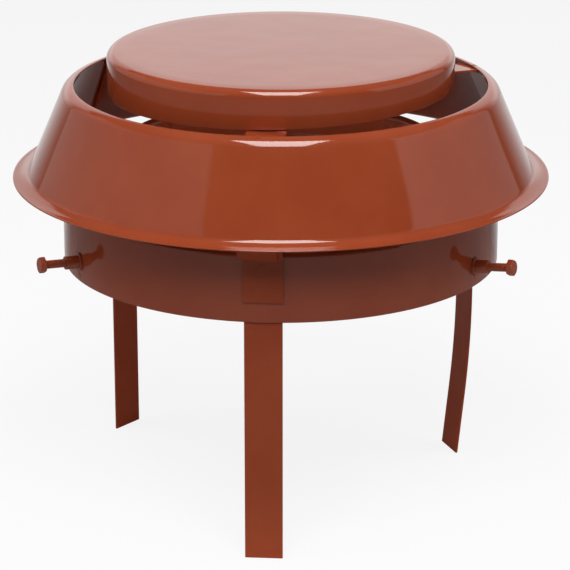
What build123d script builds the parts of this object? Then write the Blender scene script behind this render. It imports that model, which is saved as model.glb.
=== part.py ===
from build123d import *
from math import cos, radians, sin, sqrt, tan
import os

# Chimney cowl of spun steel sheet, painted all over.
# The frame is Z up, in millimetres, with the axis of the spinnings on Z and the feet on Z = 0.
# An azimuth is in degrees: 0 faces the front (-Y) and it grows towards +X.

# Stock
sheet = 1.0
strip = 1.5

# Base: one spinning, from the skirt over a rounded shoulder and a cone to the throat
skirt_radius = 152.5
skirt_height = 46.0
skirt_corner_radius = 3.0
throat_cone_run = 42.2
throat_cone_rise = 31.0
throat_collar_height = 4.1
throat_corner_radius = 2.0

# Deflector: one spinning, a flange, a concave fillet, a cone and a rolled shoulder with a lip
flange_width = 9.8
flange_fillet_radius = 4.0
cone_half_angle = 23.3
deflector_height = 63.3
shoulder_radius = 9.0
lip_width = 6.54
lip_inset_from_skirt = 9.3
draught_gap_height = 13.4

# Cap: one spinning, a flat top, a rounded corner and a wall whose rim was cut on a slant
cap_height = 25.8
cap_corner_radius = 5.5
cap_rim_depth_below_lip = 2.2
outlet_gap_width = 23.0
cap_rim_slant_angle = 1.51
cap_rim_high_azimuth = 94.4

# Three sets of strip: a leg inside the skirt, a clip outside it and a strap up to the cap
set_azimuths = {"front": 0.0, "right": 115.0, "left": -124.4}
weld_gap = 0.03

# Clips, welded to the outside of the skirt, with an upper half that leans outwards
clip_width = 26.8
clip_tab_length = 29.4
clip_fold_depth = 2.5
clip_fold_radius = 1.5
clip_lean_angle = 42.0
clip_lean_length = 16.0

# Straps, from the clip along the deflector's wall, under its lip and up inside the cap
strap_width = 26.0
strap_lap_offset = 3.0
strap_foot_bend_radius = 4.0
strap_lip_bend_radius = 9.5
strap_kink_offset = 2.5
strap_kink_radius = 6.0
strap_upturn_bend_radius = 1.0
strap_upturn_length = 15.0
strap_skew_angle = 2.3

# Legs, straight ones and one that was bent inwards by hand
leg_width = 25.4
leg_length_below_skirt = 168.5
leg_length_in_skirt = 40.0
bent_leg = "right"
bent_leg_joggle_depth = 6.9
bent_leg_joggle_top = 8.0
bent_leg_joggle_drop = 33.0
bent_leg_joggle_radius = 25.0
bent_leg_curve_height = 84.5
bent_leg_curve_radius = 730.0
bent_leg_foot_angle = 6.1

# Three screws in bosses round the skirt; each boss was welded on with its own slight rise
screw_azimuths = {"left": -59.7, "right": 64.0, "rear": 182.6}
screw_rise_angles = {"left": 3.0, "right": 7.3, "rear": 5.0}
screw_height = 14.2
screw_radius = 2.95
screw_length = 30.0
screw_tip_depth = 4.5
screw_tip_chamfer = 0.6
head_across_flats = 10.0
head_thickness = 4.0
head_chamfer = 0.5
boss_clearance = 0.05
boss_radius = 4.6
boss_length = 10.7
boss_collar_radius = 6.3
boss_collar_thickness = 1.5
skirt_hole_clearance = 0.3

# Heights above the floor, worked out from the sizes above
skirt_foot_z = leg_length_below_skirt
shoulder_z = skirt_foot_z + skirt_height
throat_foot_z = shoulder_z + throat_cone_rise
throat_top_z = throat_foot_z + throat_collar_height
flange_z = shoulder_z + draught_gap_height + sheet
lip_z = flange_z + deflector_height
cap_rim_z = lip_z - cap_rim_depth_below_lip
cap_top_z = cap_rim_z + cap_height
screw_z = skirt_foot_z + screw_height

# Radii from the axis, worked out from the skirt's
cone_slope = tan(radians(cone_half_angle))
throat_radius = skirt_radius - throat_cone_run
lip_radius = skirt_radius - lip_inset_from_skirt
cone_top_radius = lip_radius + lip_width
cone_foot_radius = cone_top_radius + deflector_height * cone_slope
flange_radius = cone_foot_radius + flange_width
cap_radius = lip_radius - outlet_gap_width

# Inner faces that the strips lie against
skirt_inner_radius = skirt_radius - sheet
cap_inner_radius = cap_radius - sheet
cone_sheet_across = sheet / cos(radians(cone_half_angle))


def at_azimuth(azimuth):
    """The turn about Z that takes +X to an azimuth."""
    return Rot(0, 0, azimuth - 90)


def flat_seat(inner_radius, width):
    """How far from the axis a flat strip's face lies when its edges touch a round wall."""
    return sqrt(inner_radius**2 - (width / 2) ** 2) - weld_gap


def section_of(corners, radii, thickness):
    """The section of a sheet: a line of rounded corners, thickened to the left of its run."""
    outer = [Vector(*corner) for corner in corners]
    runs = [(end - start).normalized() for start, end in zip(outer, outer[1:])]
    lefts = [Vector(-run.Y, run.X) for run in runs]
    inner = [outer[0] + lefts[0] * thickness]
    inner_radii = []
    for corner, before, after, radius in zip(outer[1:], lefts, lefts[1:], radii):
        inner.append(corner + (before + after) * (thickness / (1 + before.dot(after))))
        turns_left = before.cross(after).Z > 0
        inner_radii.append(radius - thickness if turns_left else radius + thickness)
    inner.append(outer[-1] + lefts[-1] * thickness)
    outer_line = FilletPolyline(*outer, radius=radii)
    inner_line = FilletPolyline(*inner, radius=inner_radii)
    ends = [Line(outer[0], inner[0]), Line(outer[-1], inner[-1])]
    return Plane.XZ * make_face(outer_line.edges() + inner_line.edges() + ends)


def spun(corners, radii):
    """A spinning: the line of its outer face, one sheet thick, turned about Z."""
    return revolve(section_of(corners, radii, sheet), Axis.Z)


def folded(corners, radii, width):
    """A folded strip in the XZ plane, from the line of its outer face."""
    return extrude(section_of(corners, radii, strip), width / 2, both=True)


def cone_wall(z):
    """Radius of the deflector's inner face at a height on its cone."""
    return cone_foot_radius - (z - flange_z) * cone_slope - cone_sheet_across


def rim_height(azimuth):
    """Height of the cap's slanted rim at an azimuth."""
    along_slant = cap_radius * cos(radians(azimuth - cap_rim_high_azimuth))
    return cap_rim_z + along_slant * tan(radians(cap_rim_slant_angle))


def screw_frame(side):
    """A frame on the skirt's outer face, with Z running out along the screw."""
    on_skirt = Pos(skirt_radius, 0, screw_z) * Rot(0, 90 - screw_rise_angles[side], 0)
    return at_azimuth(screw_azimuths[side]) * on_skirt


def make_base():
    corners = [
        (skirt_radius, skirt_foot_z),
        (skirt_radius, shoulder_z),
        (throat_radius, throat_foot_z),
        (throat_radius, throat_top_z),
    ]
    base = spun(corners, [skirt_corner_radius, throat_corner_radius])
    for side in screw_azimuths:
        hole = Cylinder(screw_radius + skirt_hole_clearance, 8 * sheet)
        base -= screw_frame(side) * hole
    return base


def make_deflector():
    corners = [
        (flange_radius, flange_z),
        (cone_foot_radius, flange_z),
        (cone_top_radius, lip_z),
        (lip_radius, lip_z),
    ]
    return spun(corners, [flange_fillet_radius, shoulder_radius])


def make_cap():
    spare = cap_radius * tan(radians(cap_rim_slant_angle)) + sheet
    corners = [
        (cap_radius, cap_rim_z - spare),
        (cap_radius, cap_top_z),
        (0, cap_top_z),
    ]
    blank = spun(corners, [cap_corner_radius])
    width = 3 * cap_radius
    below = Box(width, width, 4 * spare, align=(Align.CENTER, Align.CENTER, Align.MAX))
    rim = Pos(0, 0, cap_rim_z) * at_azimuth(cap_rim_high_azimuth) * Rot(0, -cap_rim_slant_angle, 0)
    return blank - rim * below


clip_face = skirt_radius + weld_gap + strip
clip_fold_z = shoulder_z - clip_fold_depth
lean_across = cos(radians(clip_lean_angle))
lean_up = sin(radians(clip_lean_angle))


def make_clip(side):
    corners = [
        (clip_face, clip_fold_z - clip_tab_length),
        (clip_face, clip_fold_z),
        (clip_face + clip_lean_length * lean_across, clip_fold_z + clip_lean_length * lean_up),
    ]
    return at_azimuth(set_azimuths[side]) * folded(corners, [clip_fold_radius], clip_width)


def make_strap(side):
    azimuth = set_azimuths[side]
    skew = sin(radians(strap_skew_angle))
    skew_gap = strap_width / 2 * skew + weld_gap

    # Outer face of the run that laps the clip's leaning half, from below
    lap = strip + skew_gap
    lap_x = clip_face + lap * lean_up
    lap_z = clip_fold_z - lap * lean_across
    start = (lap_x + strap_lap_offset * lean_across, lap_z + strap_lap_offset * lean_up)

    # The run up the deflector's wall, with the strip's edges just clear of the cone
    width_on_cone = strap_width + 2 * deflector_height * skew
    wall_gap = cone_wall(lip_z) - flat_seat(cone_wall(lip_z), width_on_cone)
    wall_gap += skew_gap * cone_slope
    reach = cone_wall(lap_z) - wall_gap - lap_x
    run = reach / (lean_across + lean_up * cone_slope)
    foot = (lap_x + run * lean_across, lap_z + run * lean_up)
    top_z = lip_z - sheet - skew_gap
    shoulder = (cone_wall(top_z) - wall_gap, top_z)

    # Inwards under the lip, down a little where the rim needs it, and up inside the cap
    width_in_cap = strap_width + 2 * strap_upturn_length * skew
    upturn_x = flat_seat(cap_inner_radius, width_in_cap)
    under_rim_z = rim_height(azimuth) - strap_upturn_bend_radius - skew_gap
    corners = [start, foot, shoulder]
    radii = [strap_foot_bend_radius, strap_lip_bend_radius]
    if under_rim_z < top_z:
        corners.append((lip_radius - strap_kink_offset, top_z))
        radii.append(strap_kink_radius)
    else:
        under_rim_z = top_z
    corners.append((upturn_x, under_rim_z))
    corners.append((upturn_x, under_rim_z + strap_upturn_length))
    radii.append(strap_upturn_bend_radius)

    strap = folded(corners, radii, strap_width)
    skewed = Pos(0, 0, top_z) * Rot(-strap_skew_angle, 0, 0) * Pos(0, 0, -top_z)
    return at_azimuth(azimuth) * skewed * strap


def make_straight_leg(side):
    face = flat_seat(skirt_inner_radius, leg_width)
    length = leg_length_below_skirt + leg_length_in_skirt
    leg = Box(strip, leg_width, length, align=(Align.MAX, Align.CENTER, Align.MIN))
    return at_azimuth(set_azimuths[side]) * Pos(face, 0, 0) * leg


def make_bent_leg(side):
    face = flat_seat(skirt_inner_radius, leg_width)
    bent_face = face - bent_leg_joggle_depth
    joggle_top_z = skirt_foot_z + bent_leg_joggle_top
    past_floor = 5 * strip
    foot_drop = bent_leg_curve_height + past_floor
    corners = [
        (bent_face - foot_drop * tan(radians(bent_leg_foot_angle)), -past_floor),
        (bent_face, bent_leg_curve_height),
        (bent_face, joggle_top_z - bent_leg_joggle_drop),
        (face, joggle_top_z),
        (face, skirt_foot_z + leg_length_in_skirt),
    ]
    radii = [bent_leg_curve_radius, bent_leg_joggle_radius, bent_leg_joggle_radius]
    leg = split(folded(corners, radii, leg_width), bisect_by=Plane.XY, keep=Keep.TOP)
    return at_azimuth(set_azimuths[side]) * leg


def make_boss(side):
    """A turned bush with a collar; its back follows the skirt's round face."""
    into_skirt = 2 * sheet
    from_skirt = (Align.CENTER, Align.CENTER, Align.MIN)
    collar_length = boss_collar_thickness + into_skirt
    collar = Pos(0, 0, -into_skirt) * Cylinder(boss_collar_radius, collar_length, align=from_skirt)
    boss = collar + Cylinder(boss_radius, boss_length, align=from_skirt)
    boss -= Cylinder(screw_radius + boss_clearance, 4 * boss_length)
    skirt = Cylinder(skirt_radius + weld_gap, 4 * skirt_height)
    return screw_frame(side) * boss - Pos(0, 0, screw_z) * skirt


def make_screw(side):
    """A screw with a hexagon head, fully threaded; the thread is left plain."""
    from_tip = (Align.CENTER, Align.CENTER, Align.MIN)
    shank = Cylinder(screw_radius, screw_length, align=from_tip)
    shank = chamfer(shank.edges().sort_by(Axis.Z)[0], screw_tip_chamfer)
    flats = RegularPolygon(head_across_flats / 2, 6, major_radius=False)
    corner_radius = head_across_flats / sqrt(3)
    round_head = Cylinder(corner_radius, head_thickness, align=from_tip)
    round_head = chamfer(round_head.edges().sort_by(Axis.Z)[-1], head_chamfer)
    head = extrude(flats, head_thickness) & round_head
    screw = shank + Pos(0, 0, screw_length) * head
    return screw_frame(side) * Pos(0, 0, -screw_tip_depth) * screw


pieces = {"base": make_base(), "deflector": make_deflector(), "cap": make_cap()}
for side in set_azimuths:
    make_leg = make_bent_leg if side == bent_leg else make_straight_leg
    pieces["leg_" + side] = make_leg(side)
    pieces["clip_" + side] = make_clip(side)
    pieces["strap_" + side] = make_strap(side)
for side in screw_azimuths:
    pieces["boss_" + side] = make_boss(side)
    pieces["screw_" + side] = make_screw(side)

os.makedirs("parts", exist_ok=True)
for name, piece in pieces.items():
    export_step(piece, "parts/" + name + ".step")
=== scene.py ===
"""A chimney cowl of spun steel sheet in glossy terracotta paint, laid out as an add-on."""

from math import asin, cos, pi, radians, sin, sqrt, tan

import bmesh
import bpy
from mathutils import Matrix, Vector


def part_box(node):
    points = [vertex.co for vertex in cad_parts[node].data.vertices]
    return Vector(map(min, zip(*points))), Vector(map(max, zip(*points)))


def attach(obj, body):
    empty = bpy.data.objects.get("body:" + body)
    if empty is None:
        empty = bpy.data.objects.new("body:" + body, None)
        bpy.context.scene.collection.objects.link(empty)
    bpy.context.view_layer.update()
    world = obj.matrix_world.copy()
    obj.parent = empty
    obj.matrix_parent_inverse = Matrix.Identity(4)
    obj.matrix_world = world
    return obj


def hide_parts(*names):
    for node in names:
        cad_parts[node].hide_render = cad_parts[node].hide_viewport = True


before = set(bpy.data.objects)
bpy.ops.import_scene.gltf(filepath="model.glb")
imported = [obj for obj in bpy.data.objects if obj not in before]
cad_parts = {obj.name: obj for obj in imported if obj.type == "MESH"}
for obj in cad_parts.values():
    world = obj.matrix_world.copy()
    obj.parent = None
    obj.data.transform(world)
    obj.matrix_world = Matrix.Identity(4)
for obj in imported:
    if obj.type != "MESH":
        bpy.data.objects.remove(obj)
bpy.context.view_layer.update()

bl_info = {
    "name": "Chimney cowl",
    "version": (1, 0, 0),
    "blender": (4, 5, 0),
    "location": "View3D > Sidebar > Cowl",
    "description": "Builds a spun steel chimney cowl with its brackets, legs and clamp screws",
    "category": "Add Mesh",
}

MM = 0.001

# What the frame gives: radii and heights of the spinnings, in metres
skirt_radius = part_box("base")[1].x
skirt_foot_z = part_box("base")[0].z
throat_top_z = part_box("base")[1].z
flange_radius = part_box("deflector")[1].x
flange_under_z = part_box("deflector")[0].z
lip_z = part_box("deflector")[1].z
cap_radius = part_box("cap")[1].x
cap_top_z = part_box("cap")[1].z
tab_foot_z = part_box("clip_front")[0].z

SETS = ("front", "right", "left")
SCREWS = ("left", "right", "rear")

# How finely the pieces are made: facets of a turn, steps of an arc or an edge, the longest plain
# run, the angle of a crease, and how near points are merged
SHEET_FACETS = 320
HARDWARE_FACETS = 60
SPOT_FACETS = 24
CUTTER_FACETS = 96
ARC_STEPS = 12
SMALL_ARC_STEPS = 5
EDGE_STEPS = 6
BEVEL_STEPS = 3
LONGEST_RUN = 9 * MM
CREASE = radians(50)
SEAM = 1e-7

# What each point of a turned piece's outline has a share of
HARDWARE_SHARES = ("threaded", "six_sided", "corner_drop")

# How far a head's corner stands beyond its flats, in radii, and how far paint rounds it
HEAD_CORNER = 0.15
HEAD_CORNER_ROUND = 0.03

# How close together the spun sheet's ripples are
RIPPLES_A_METRE = 14.0


def length(name, default_mm, description):
    """A property for a length, given in millimetres."""
    return bpy.props.FloatProperty(
        name=name, default=default_mm * MM, description=description, unit="LENGTH", precision=5
    )


def angle(name, default_degrees, description):
    """A property for an angle, given in degrees."""
    return bpy.props.FloatProperty(
        name=name, default=radians(default_degrees), description=description, unit="ROTATION"
    )


def colour(name, default, description):
    """A property for a linear colour."""
    return bpy.props.FloatVectorProperty(
        name=name, default=default, description=description, subtype="COLOR", min=0, max=1
    )


def power(name, default, description):
    """A property for a lamp's power, in watts."""
    return bpy.props.FloatProperty(name=name, default=default, description=description, unit="POWER")


def brightness(name, default, description):
    """A property for how bright a part of the room is, where 1 is white."""
    return bpy.props.FloatProperty(name=name, default=default, description=description)


class SpinningSizes(bpy.types.PropertyGroup):
    """Sizes of the three spinnings that the frame's boxes don't give"""

    sheet: length("Sheet", 1.0, "Thickness of the spun sheet")
    trimmed_edge: length("Trimmed edge", 0.35, "How far paint and trimming round an edge")
    ripple: length("Ripple", 0.1, "How far the spun sheet is out of true")
    skirt_height: length("Skirt height", 46.0, "From the skirt's foot to its shoulder")
    skirt_corner: length("Skirt corner", 3.0, "Radius of the skirt's shoulder")
    throat_run: length("Cone run", 42.2, "From the skirt's radius in to the throat's")
    throat_collar: length("Collar", 4.1, "Height of the throat's upright collar")
    throat_corner: length("Throat corner", 2.0, "Radius where the cone meets the collar")
    flange_width: length("Flange width", 9.8, "From the cone's foot out to the flange's edge")
    flange_fillet: length("Flange fillet", 5.0, "Radius between the flange's rise and the cone")
    flange_sweep: length("Flange sweep", 18.0, "Radius where the flange starts to rise")
    rise_run: length("Rise run", 5.0, "Where the flange starts to rise before the cone")
    rise_height: length("Rise height", 2.16, "Height of the flange's rise")
    shoulder: length("Shoulder", 9.0, "Radius of the deflector's rolled shoulder")
    lip_width: length("Lip width", 6.54, "From the shoulder's corner in to the lip's edge")
    cap_corner: length("Cap corner", 5.5, "Radius round the cap's top")
    cap_wall: length("Cap wall", 25.8, "From the middle of the slanted rim to the cap's top")
    cone_angle: angle("Cone angle", 23.3, "Half the angle of the deflector's cone")
    rim_slant: angle("Rim slant", 1.51, "Tilt of the cap's rim")
    rim_azimuth: angle("Rim azimuth", 94.4, "Where the cap's rim is highest")


class StripSizes(bpy.types.PropertyGroup):
    """Sizes of the legs, clips and straps"""

    thickness: length("Strip", 1.5, "Thickness of the flat strip")
    edge: length("Strip edge", 0.3, "Radius of the strip's painted edges")
    weld_gap: length("Weld gap", 0.03, "Gap that stands for the paint between welded pieces")
    leg_width: length("Leg width", 25.4, "Width of the legs")
    leg_in_skirt: length("Leg in skirt", 40.0, "How far the legs run up inside the skirt")
    clip_width: length("Clip width", 26.8, "Width of the clips")
    tab_length: length("Tab length", 29.4, "Length of a clip's tab on the skirt")
    lean_length: length("Lean length", 16.0, "Length of a clip's leaning half")
    lean: angle("Lean", 42.0, "How far a clip's upper half rises above level")
    fold: length("Fold", 1.5, "Radius of a clip's fold")
    strap_width: length("Strap width", 26.0, "Width of the straps")
    strap_lap: length("Strap lap", 3.0, "Where a strap starts along the clip's leaning half")
    strap_foot_bend: length("Foot bend", 4.0, "Radius where a strap turns up the deflector's wall")
    strap_lip_bend: length("Lip bend", 9.5, "Radius where a strap turns in under the lip")
    strap_kink: length("Kink", 6.0, "Radius where a strap dips towards the cap's rim")
    kink_offset: length("Kink offset", 2.5, "How far inside the lip a strap dips")
    upturn: length("Upturn", 15.0, "Length of a strap's end inside the cap")
    upturn_bend: length("Upturn bend", 1.0, "Radius where a strap turns up inside the cap")
    strap_skew: angle("Strap skew", 2.3, "How far the straps stand out of square")
    spot_radius: length("Spot weld", 2.2, "Radius of a spot weld's mark")
    spot_height: length("Spot height", 0.16, "How far a spot weld's rim stands up")


class BentLegSizes(bpy.types.PropertyGroup):
    """Sizes of the leg that was bent inwards by hand"""

    joggle_depth: length("Joggle depth", 6.9, "How far in the joggle sets the leg")
    joggle_top: length("Joggle top", 8.0, "Height of the joggle's top above the skirt's foot")
    joggle_drop: length("Joggle drop", 33.0, "Height of the joggle")
    joggle_bend: length("Joggle bend", 25.0, "Radius of the joggle's bends")
    curve_height: length("Curve height", 84.5, "Height of the middle of the long curve")
    curve: length("Curve", 730.0, "Radius of the long curve")
    foot_angle: angle("Foot angle", 6.1, "How far the foot leans inwards")


class ScrewSizes(bpy.types.PropertyGroup):
    """Sizes of the clamp screws and their bosses"""

    height: length("Height", 14.2, "Height of the screws above the skirt's foot")
    shank: length("Shank", 2.95, "Radius over the thread")
    pitch: length("Pitch", 1.0, "Travel of the thread in one turn")
    thread_depth: length("Thread depth", 0.4, "Depth of the thread under the paint")
    bare_neck: length("Bare neck", 1.5, "Length without thread under the head")
    tip_chamfer: length("Tip chamfer", 0.6, "Chamfer of the tip")
    screw_length: length("Length", 30.0, "From the tip to the underside of the head")
    tip_depth: length("Tip depth", 4.5, "How far the tip stands inside the skirt's face")
    head_flats: length("Head", 10.0, "Across the head's flats")
    head_height: length("Head height", 4.0, "Thickness of the head")
    paint_round: length("Paint round", 0.3, "How far paint rounds the hardware's edges")
    boss_radius: length("Boss", 4.6, "Radius of the boss's barrel")
    boss_length: length("Boss length", 10.7, "From the skirt to the end of the boss")
    boss_clearance: length("Boss clearance", 0.05, "Gap between the boss and the screw")
    collar_radius: length("Collar", 6.3, "Radius of the boss's collar")
    collar_thickness: length("Collar thickness", 1.5, "Thickness of the boss's collar")
    hole_clearance: length("Hole clearance", 0.3, "Gap between the skirt's hole and the screw")


class Places(bpy.types.PropertyGroup):
    """Azimuths round the axis: 0 is the front, and they grow towards the right"""

    set_front: angle("Front set", 0.0, "Azimuth of the front leg, clip and strap")
    set_right: angle("Right set", 115.0, "Azimuth of the right leg, clip and strap")
    set_left: angle("Left set", -124.4, "Azimuth of the left leg, clip and strap")
    screw_left: angle("Left screw", -59.7, "Azimuth of the left screw")
    screw_right: angle("Right screw", 64.0, "Azimuth of the right screw")
    screw_rear: angle("Rear screw", 182.6, "Azimuth of the rear screw")
    rise_left: angle("Left rise", 3.0, "How far the left screw rises outwards")
    rise_right: angle("Right rise", 7.3, "How far the right screw rises outwards")
    rise_rear: angle("Rear rise", 5.0, "How far the rear screw rises outwards")


class PaintColours(bpy.types.PropertyGroup):
    """Colours of the paint and the studio"""

    terracotta: colour("Terracotta", (0.30, 0.050, 0.0165), "The gloss paint")
    thin_coat: colour("Thin coat", (0.34, 0.066, 0.024), "The paint where it lies thinner")
    dust: colour("Dust", (0.42, 0.24, 0.17), "Fine dust on the paint")
    paper: colour("Paper", (0.9, 0.9, 0.9), "The white paper that the cowl stands on")
    studio_floor: colour("Studio floor", (0.3, 0.3, 0.3), "The floor, as gloss and light see it")


class StudioLights(bpy.types.PropertyGroup):
    """The studio's lights and the pale room round them"""

    top_watts: power("Softbox", 23.5, "Power of the softbox overhead")
    key_watts: power("Key light", 29.8, "Power of the key over the camera")
    key_height: angle("Key height", 50.0, "How high the key stands above the horizon")
    key_distance: length("Key distance", 1900.0, "From the key to the cowl")
    side_watts: power("Side lights", 6.0, "Power of each of the side lights")
    backdrop_foot: brightness("Backdrop, foot", 0.8, "Brightness of the backdrop at the floor")
    backdrop_low: brightness("Backdrop, low", 1.22, "Brightness of the backdrop near the floor")
    backdrop_high: brightness("Backdrop, high", 0.92, "Brightness of the backdrop higher up")
    left_screen: brightness("Left screen", 0.46, "Brightness of the left screen")
    right_near: brightness("Right screen", 0.78, "Brightness of the right screen's near edge")
    right_far: brightness("Right screen, far", 0.42, "Brightness of the right screen further back")
    room: brightness("Room", 0.05, "Brightness of the dark room round the screens")
    ceiling: brightness("Ceiling", 0.1, "Brightness of the room overhead")
    left_start: angle("Left screen starts", -33.0, "Azimuth of the left screen's near edge")
    left_end: angle("Left screen ends", -131.0, "Azimuth of the left screen's far edge")
    right_start: angle("Right screen starts", 68.0, "Azimuth of the right screen's near edge")
    right_end: angle("Right screen ends", 136.5, "Azimuth of the right screen's far edge")
    right_fade: angle("Right screen fades", 60.0, "How far round the right screen keeps fading")
    screen_top: angle("Screen top", 38.0, "How high the side screens reach")
    backdrop_top: angle("Backdrop top", 30.0, "How high the backdrop reaches")


def settings():
    """The scene's settings for the cowl."""
    return bpy.context.scene.cowl


class CowlSettings(bpy.types.PropertyGroup):
    """Everything that a user would change"""

    spinning: bpy.props.PointerProperty(type=SpinningSizes, name="Spinnings", description="Sheet")
    strip: bpy.props.PointerProperty(type=StripSizes, name="Strips", description="Flat strip")
    bent: bpy.props.PointerProperty(type=BentLegSizes, name="Bent leg", description="One leg")
    screw: bpy.props.PointerProperty(type=ScrewSizes, name="Screws", description="Hardware")
    place: bpy.props.PointerProperty(type=Places, name="Places", description="Azimuths")
    paint: bpy.props.PointerProperty(type=PaintColours, name="Paint", description="Colours")
    studio: bpy.props.PointerProperty(type=StudioLights, name="Studio", description="Lights")


# Lines and outlines


def arc_between(before, corner, after, radius, steps):
    """Points of the arc that rounds a corner between two straight runs."""
    into = (corner - before).normalized()
    out = (after - corner).normalized()
    turn = into.x * out.y - into.y * out.x
    half = asin(max(-1, min(1, turn))) / 2
    if into.dot(out) < 0:
        half = (pi - abs(2 * half)) / 2 * (1 if half > 0 else -1)
    tangent = radius * tan(abs(half))
    side = 1 if half > 0 else -1
    normal = Vector((-into.y, into.x)) * side
    start = corner - into * tangent
    centre = start + normal * radius
    points = []
    for step in range(steps + 1):
        turned = 2 * abs(half) * step / steps
        points.append(centre - normal * radius * cos(turned) + into * radius * sin(turned))
    return points


def rounded_line(corners, radii, steps):
    """A line with its inner corners rounded."""
    points = [corners[0]]
    for before, corner, after, radius in zip(corners, corners[1:], corners[2:], radii):
        points += arc_between(before, corner, after, radius, steps)
    return points + [corners[-1]]


def beside(corners, radii, distance):
    """The corners and radii of a line at a distance to the left of another."""
    runs = [(end - start).normalized() for start, end in zip(corners, corners[1:])]
    lefts = [Vector((-run.y, run.x)) for run in runs]
    moved = [corners[0] + lefts[0] * distance]
    new_radii = []
    for corner, before, after, radius in zip(corners[1:], lefts, lefts[1:], radii):
        moved.append(corner + (before + after) * distance / (1 + before.dot(after)))
        turns_left = before.x * after.y - before.y * after.x > 0
        new_radii.append(radius - distance if turns_left else radius + distance)
    moved.append(corners[-1] + lefts[-1] * distance)
    return moved, new_radii


def edge_round(start, end, bulge):
    """A half ellipse from one face's end to the other's, bulging to the right of the way across."""
    middle = (start + end) / 2
    half = (start - end) / 2
    out = Vector((half.y, -half.x)).normalized() * bulge
    turns = [pi * step / EDGE_STEPS for step in range(1, EDGE_STEPS)]
    return [middle + half * cos(turned) + out * -sin(turned) for turned in turns]


def sheet_section(corners, radii, sheet, edge):
    """The closed outline of a sheet's section, from the line of its outer face."""
    corners = [Vector(corner) for corner in corners]
    first_run = (corners[1] - corners[0]).normalized()
    last_run = (corners[-1] - corners[-2]).normalized()
    corners[0] = corners[0] + first_run * edge
    open_end = corners[-1].x > sheet
    if open_end:
        corners[-1] = corners[-1] - last_run * edge
    inner_corners, inner_radii = beside(corners, radii, sheet)
    outer = rounded_line(corners, radii, ARC_STEPS)
    inner = rounded_line(inner_corners, inner_radii, ARC_STEPS)[::-1]
    far_edge = edge_round(outer[-1], inner[0], edge) if open_end else []
    near_edge = edge_round(inner[-1], outer[0], edge)
    if open_end:
        return outer + far_edge + inner + near_edge
    # A section that ends on the axis starts and stops there
    return inner + near_edge + outer


def divided(points, longest):
    """A line with its long runs divided, so that a ripple can bend them."""
    made = []
    for start, end in zip(points, points[1:]):
        parts = max(1, int((end - start).length / longest))
        made += [start.lerp(end, part / parts) for part in range(parts)]
    return made + [points[-1]]


# Nodes


class NodeMaker:
    """Short ways to add nodes to a tree and link them."""

    def __init__(self, tree):
        self.tree = tree

    def node(self, kind, *inputs, sockets=None, **options):
        """A node of a kind, with its inputs linked or set in order, or by name."""
        made = self.tree.nodes.new(kind)
        for option, value in options.items():
            setattr(made, option, value)
        in_order = zip([socket for socket in made.inputs if socket.enabled], inputs)
        by_name = [(made.inputs[name], value) for name, value in (sockets or {}).items()]
        for socket, value in [*in_order, *by_name]:
            self.feed(socket, value)
        return made

    def feed(self, socket, value):
        """Links an output to a socket, or sets the socket's value; None leaves it as it is."""
        if isinstance(value, bpy.types.NodeSocket):
            self.tree.links.new(value, socket)
        elif value is not None:
            socket.default_value = value

    def maths(self, operation, *inputs):
        """A Math node's result."""
        return self.node("ShaderNodeMath", *inputs, operation=operation).outputs[0]


class ShaderMaker(NodeMaker):
    """Short ways to add value nodes to a shader's tree."""

    def ramp(self, value, low, high, at_low, at_high):
        """A value that runs evenly between two levels and stays there outside."""
        return self.node("ShaderNodeMapRange", value, low, high, at_low, at_high).outputs[0]

    def mixed(self, share, first, second):
        """A mix of two colours, each a value or an output."""
        return self.node("ShaderNodeMix", share, first, second, data_type="RGBA").outputs["Result"]

    def span(self, value, low, high, soft):
        """One between two values, and nothing outside them."""
        into = self.ramp(value, low - soft, low, 0.0, 1.0)
        out = self.ramp(value, high, high + soft, 1.0, 0.0)
        return self.maths("MULTIPLY", into, out)


class GeometryMaker(NodeMaker):
    """A geometry node tree with named inputs."""

    def __init__(self, name):
        super().__init__(bpy.data.node_groups.new(name, "GeometryNodeTree"))
        for direction in ("INPUT", "OUTPUT"):
            self.tree.interface.new_socket(
                "Geometry", in_out=direction, socket_type="NodeSocketGeometry"
            )
        self.start = self.tree.nodes.new("NodeGroupInput")
        self.end = self.tree.nodes.new("NodeGroupOutput")

    def size(self, name, kind="Float"):
        """A named input, as the socket to link from."""
        self.tree.interface.new_socket(name, in_out="INPUT", socket_type="NodeSocket" + kind)
        return self.start.outputs[name]

    def finish(self, geometry, material, crease=CREASE):
        """Ends the tree: real geometry, smooth faces, sharp creases and a material."""
        real = self.node("GeometryNodeRealizeInstances", geometry)
        smooth = self.node("GeometryNodeSetShadeSmooth", real.outputs[0])
        steepness = self.node("GeometryNodeInputMeshEdgeAngle").outputs["Unsigned Angle"]
        creased = self.node("FunctionNodeCompare", steepness, crease).outputs[0]
        split = self.node(
            "GeometryNodeSetShadeSmooth",
            smooth.outputs[0],
            creased,
            domain="EDGE",
            sockets={"Shade Smooth": False},
        )
        painted = self.node(
            "GeometryNodeSetMaterial", split.outputs[0], sockets={"Material": material}
        )
        self.feed(self.end.inputs[0], painted.outputs[0])
        return self.tree


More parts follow.
